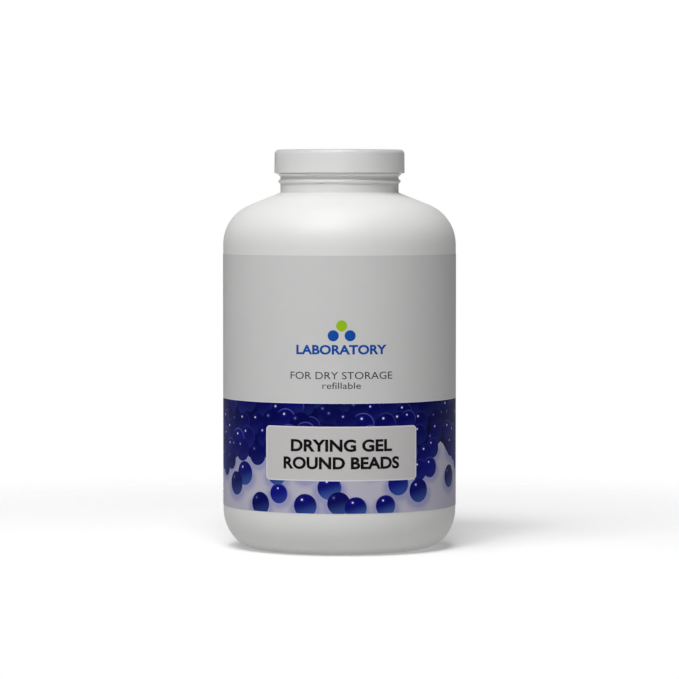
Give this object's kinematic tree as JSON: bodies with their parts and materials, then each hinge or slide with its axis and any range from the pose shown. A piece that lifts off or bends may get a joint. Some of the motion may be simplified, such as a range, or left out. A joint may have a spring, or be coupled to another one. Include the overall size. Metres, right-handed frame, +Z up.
{
  "type": "desiccant bead bottle",
  "caption": "Wide-mouth white plastic packer bottle with screw cap, liner and wrap-round label, filled with indicating silica gel beads",
  "frame": {"origin": "centre of the surface that the bottle stands on", "axes": "+Z up along the bottle's axis; the middle of the label faces -Y"},
  "size_m": [0.0996, 0.0997, 0.1697],
  "materials": {
    "hdpe": "satin",
    "polypropylene": "satin",
    "liner_foam": "matte",
    "label_film": "satin",
    "silica_gel": "gloss"
  },
  "bodies": {
    "jar": {"bottle": "hdpe", "label": "label_film", "bead_bed": "silica_gel", "surface_beads": "silica_gel"},
    "liner": {"cap_liner": "liner_foam"},
    "cap": {"screw_cap": "polypropylene"}
  },
  "joints": [
    {"name": "cap_rise", "type": "slide", "parent": "jar", "child": "liner", "axis": [0, 0, 1], "range_m": [0, 0.01271]},
    {"name": "cap_turn", "type": "hinge", "parent": "liner", "child": "cap", "pos_m": [0, 0, 0.1646], "axis": [0, 0, 1], "range_deg": [0, 1080]}
  ],
  "couplings": [
    {"joint": "cap_rise", "follows": "cap_turn", "m_per_rad": 0.00067376}
  ]
}
